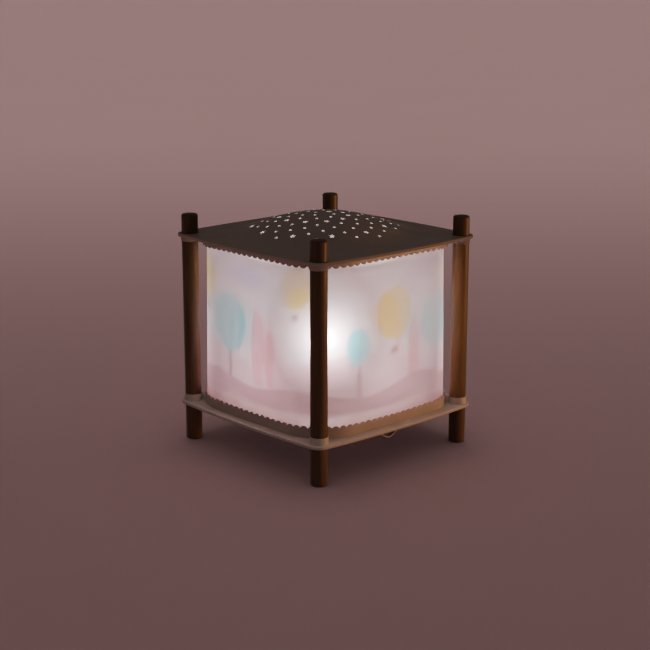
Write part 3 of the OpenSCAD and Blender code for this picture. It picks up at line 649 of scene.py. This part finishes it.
# Painted shade: the sheet's colour is darker towards its foot, just above the lower crown.
painted_shade_start, painted_shade_end = 0.0415, 0.05
foot = spread(shade_look, up, painted_shade_start, painted_shade_end, 0.85, 0)
milk = blended(shade_look, foot, milk, (0.6, 0.5, 0.52, 1))
feed(shade_look, "Base Color", milk)
feed(shade_look, "Roughness", spread(shade_look, cloudy(shade_look, 500, 3), 0.3, 0.7, 0.42, 0.58))
# A faint painted glow of the sheet's own, on top of the light that passes through it.
feed(shade_look, "Emission Strength", spread(shade_look, cloudy(shade_look, 20, 2), 0.2, 0.8, 0, 0.01))
bumped(shade_look, cloudy(shade_look, 2500, 2), 0.06, 0.00005)
diffuse_through = wired(shade_look, "ShaderNodeBsdfTranslucent", {"Color": milk})
wide, narrow = (
    wired(shade_look, "ShaderNodeBsdfRefraction", {"Color": milk, "Roughness": 1.0, "IOR": bending})
    for bending in (1.17, 1.06)
)
straight_through = mixed(shade_look, wide, narrow, share=0.3)
both_through = mixed(shade_look, diffuse_through, straight_through, share=0.61)
surfaced(shade_look, mixed(shade_look, shader(shade_look), both_through, share=0.7))
shade_back = new_look("translucent_sheet_back", {"Roughness": 0.5})
back_tint = blended(shade_back, cloudy(shade_back, 35, 4), (0.93, 0.9, 0.92, 1), (0.9, 0.87, 0.9, 1))
feed(shade_back, "Base Color", back_tint)
sheer = wired(shade_back, "ShaderNodeBsdfTransparent", {"Color": (1, 1, 1, 1)})
surfaced(shade_back, mixed(shade_back, sheer, shader(shade_back), share=0.04))
obj = piece("bent_shade", bm, "frame", "shade_sheet", [shade_look, shade_back], "shade")
thickened(obj, shade_wall).material_offset = 1


# Upper crown
# The same scalloped band turned over, a little lower, and welded by its tabs under the cover. It hides
# the upper end of the shade.
cover_top, upper_crown_h = 174.5, 7.0
bm = crown(cover_top - sheet, way=-1, tip=upper_crown_h)
obj = piece("scalloped_upper_crown", bm, "frame", "base_paint", [base_paint], "top_crown")
thickened(obj, sheet, crown_edge)


# Domed cover
# Pressed and painted sheet with a folded rim, collars drawn down round the posts and a shallow dome with
# a hollow foot. Small stars are punched through the dome, and the inside is left pale. The outer paint is
# the base plate's cream made darker and browner as painted shade, and the stars' walls have a painted glow.
dome_rise, dome_border, dome_foot = 17.5, 4.2, 26
dome_r = plate_half - dome_border
cap_r = dome_r - dome_foot
dome_radii = (dome_r**2 + dome_rise**2) / (2 * dome_rise)
ball_r = dome_radii * cap_r / dome_r
dome_turn = math.asin(cap_r / ball_r)
bm = bmesh.new()
pressed_plate(bm, cover_top, False)
for top in (cover_top, cover_top - sheet):
    before = set(bm.verts) | set(bm.edges)
    tip = [bm.verts.new((0, 0, top + dome_rise))]
    ball_centre = (0, 0, top + dome_rise - ball_r)
    foot_centre = (dome_r, 0, top + dome_radii - ball_r)
    tip = points(turned(bm, tip, ball_centre, dome_turn, steps=16, axis=(0, 1, 0)))
    turned(bm, tip, foot_centre, dome_turn, steps=9, axis=(0, -1, 0))
    line = [g for g in bm.verts[:] + bm.edges[:] if g not in before]
    turned(bm, line, (0, 0, 0), 2 * math.pi, steps=144, use_merge=True)
merged(bm)
filled(bm, cover_top)
filled(bm, cover_top - sheet)
bmesh.ops.recalc_face_normals(bm, faces=bm.faces)
for face in bm.faces:
    faces_down = face.normal.z < -0.7
    above_rim = face.calc_center_median().z > cover_top - sheet - 0.1
    face.material_index = int(faces_down and above_rim)
# Painted shade: the outer paint is a darker, browner copy of the base plate's cream.
cover_paint = painted("cover_cream_paint_shaded", (0.6, 0.47, 0.385), (0.55, 0.425, 0.345), 0.42)
inside_paint = painted("pale_inside_paint", (0.72, 0.68, 0.66), (0.66, 0.62, 0.6), 0.5)
# Painted glow: the star holes' walls are pale and give a little light of their own.
star_edge_glow = painted("star_edge_painted_glow", (0.88, 0.84, 0.82), (0.82, 0.78, 0.76), 0.5)
shader(star_edge_glow).inputs["Emission Color"].default_value = (1, 0.9, 0.9, 1)
shader(star_edge_glow).inputs["Emission Strength"].default_value = 0.25
cover_looks = [cover_paint, inside_paint, star_edge_glow]
cover = piece("star_pierced_cover", bm, "frame", "cover_paint", cover_looks, "top_cover")

star_count, star_points, star_notch, star_field = 95, 5, 0.45, 60.3
big_star, small_star, big_every, star_lean = 2.6, 1.7, 5, 50
punch_len, punch_rise, golden_turn = 30, 12, 180 * (3 - math.sqrt(5))
bm = bmesh.new()
for i in range(star_count):
    tip_r = small_star if i % big_every else big_star
    blank = {"segments": 2 * star_points, "radius1": tip_r, "radius2": tip_r, "depth": punch_len}
    cut = bmesh.ops.create_cone(bm, cap_ends=True, **blank)["verts"]
    for v in cut:
        if math.floor(math.atan2(v.co.y, v.co.x) / (math.pi / star_points)) % 2:
            v.co.xy *= star_notch
    lean = Matrix.Rotation(math.radians(i * star_lean), 3, "Z")
    bmesh.ops.rotate(bm, cent=(0, 0, 0), matrix=lean, verts=cut)
    place = star_field * math.sqrt((i + 0.5) / star_count)
    bmesh.ops.translate(bm, vec=(place, 0, cover_top + punch_rise), verts=cut)
    way = Matrix.Rotation(math.radians(i * golden_turn), 3, "Z")
    bmesh.ops.rotate(bm, cent=(0, 0, 0), matrix=way, verts=cut)
for face in bm.faces:
    face.material_index = cover_looks.index(star_edge_glow)
punch = placed("star_punch", meshed("star_punch", bm, cover_looks))
stars = cover.modifiers.new("stars", "BOOLEAN")
stars.object, stars.operation, stars.solver = punch, "DIFFERENCE", "EXACT"
pierced_cover = cover.evaluated_get(bpy.context.evaluated_depsgraph_get())
cover.data = bpy.data.meshes.new_from_object(pierced_cover)
cover.modifiers.clear()
creased(cover.data)
bpy.data.objects.remove(punch)


# Studio
# A plain pale floor with lights of its own, a dim room, a warm soft light low on the right, a faint fill
# from the left, small helps for the ledge and one post, and the photograph's camera.
bm = bmesh.new()
bmesh.ops.create_grid(bm, x_segments=1, y_segments=1, size=30)
floor_look = new_look("pale_floor", {"Roughness": 0.9, "Specular IOR Level": 0.05})
floor_tone, floor_shade = (0.242, 0.152, 0.149, 1), (0.232, 0.1455, 0.1425, 1)
feed(floor_look, "Base Color", blended(floor_look, cloudy(floor_look, 3, 3), floor_tone, floor_shade))
floor = placed("studio_floor", meshed("studio_floor", bm, [floor_look], 1))


def reaches(source, state, *pieces):
    """A light, or a piece that gives light, reaches some pieces alone or everything but them."""
    group = bpy.data.collections.new(source.name + "_reach")
    for reached in pieces:
        group.objects.link(reached)
    for reached in group.collection_objects:
        reached.light_linking.link_state = state
    source.light_linking.receiver_collection = group


def soft_light(name, kind, place, lean, turn, colour, **settings):
    """A soft light, unseen itself, that leans from straight down and is turned about the upright."""
    light = bpy.data.lights.new(name, kind)
    light.color = colour
    for key, value in settings.items():
        setattr(light, key, value)
    obj = placed(name, light)
    obj.location, obj.visible_camera = place, False
    obj.rotation_euler = (math.radians(lean), 0, math.radians(turn))
    return obj


view_turn, side_place, side_lean, side_turn = -42.6, (1.13, -1.09, 0.06), 91, 46
side_colour, floor_colour = (1.0, 0.5, 0.21), (1.0, 0.92, 0.93)
warm_side = soft_light(
    "warm_side_light", "AREA", side_place, side_lean, side_turn, side_colour,
    size=0.4, energy=13.5, specular_factor=0.15,
)
reaches(warm_side, "EXCLUDE", floor, cover)
cover_side = soft_light(
    "cover_side_light", "AREA", side_place, side_lean, side_turn, side_colour,
    size=0.4, energy=3.5,
)
reaches(cover_side, "INCLUDE", cover)
left_fill = soft_light(
    "left_fill_light", "AREA", (-1.3, 0.5, 0.3), lean=83, turn=-111, colour=(0.95, 0.97, 1.0),
    size=0.9, energy=0.15, specular_factor=0.3,
)
reaches(left_fill, "EXCLUDE", floor)
ledge = soft_light(
    "ledge_light", "SUN", (-0.25, -0.27, 1.5), lean=14, turn=view_turn, colour=(1.0, 0.88, 0.8),
    angle=math.radians(40), energy=0.4,
)
reaches(ledge, "INCLUDE", base_plate)
post_glow = soft_light(
    "post_glow_light", "AREA", (0.045, -0.089, 0.1), lean=90, turn=-90, colour=(1.0, 0.55, 0.25),
    shape="RECTANGLE", size=0.02, size_y=0.12, energy=0.012,
)
reaches(post_glow, "INCLUDE", posts["front_right"])
even = {"angle": math.radians(175), "energy": 1.38}
front = {"angle": math.radians(80), "energy": 0.2}
distant = {"size": 50, "energy": 6300, "spread": math.radians(40)}
close = {"energy": 0.025, "shadow_soft_size": 0.05, "use_shadow": False}
for name, kind, place, lean, settings in (
    ("floor_light", "SUN", (0, 0, 3), 0, even),
    ("front_floor_light", "SUN", (-1.35, -1.47, 1.2), 60, front),
    ("far_floor_light", "AREA", (17.5, 19.0, 4.2), 0, distant),
    ("glow_on_floor", "POINT", (0, 0, 0.1), 0, close),
):
    floor_lamp = soft_light(name, kind, place, lean, view_turn, floor_colour, **settings)
    reaches(floor_lamp, "INCLUDE", floor)
for source in (lamp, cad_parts["bulb_glass"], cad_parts["drum_fan"], cover):
    reaches(source, "EXCLUDE", floor)

room_light, room_seen = 0.085, 0.4
world = bpy.data.worlds.new("soft_room")
world.use_nodes = True
sky = world.node_tree.nodes["Background"]
sky.inputs["Color"].default_value = (0.85, 0.72, 0.7, 1)
seen = wired(world, "ShaderNodeLightPath").outputs["Is Camera Ray"]
level = wired(world, "ShaderNodeMapRange", {"Value": seen, "To Min": room_light, "To Max": room_seen})
world.node_tree.links.new(level.outputs[0], sky.inputs["Strength"])
bpy.context.scene.world = world

camera = bpy.data.cameras.new("camera")
camera.lens, camera.sensor_width = 80.0, 36.0
viewer = placed("camera", camera)
viewer.location = (-0.77812, -0.84507, 0.38855)
look_at = Vector((0, 0, 0.09825))
viewer.rotation_euler = (look_at - viewer.location).to_track_quat("-Z", "Y").to_euler()
bpy.context.scene.camera = viewer
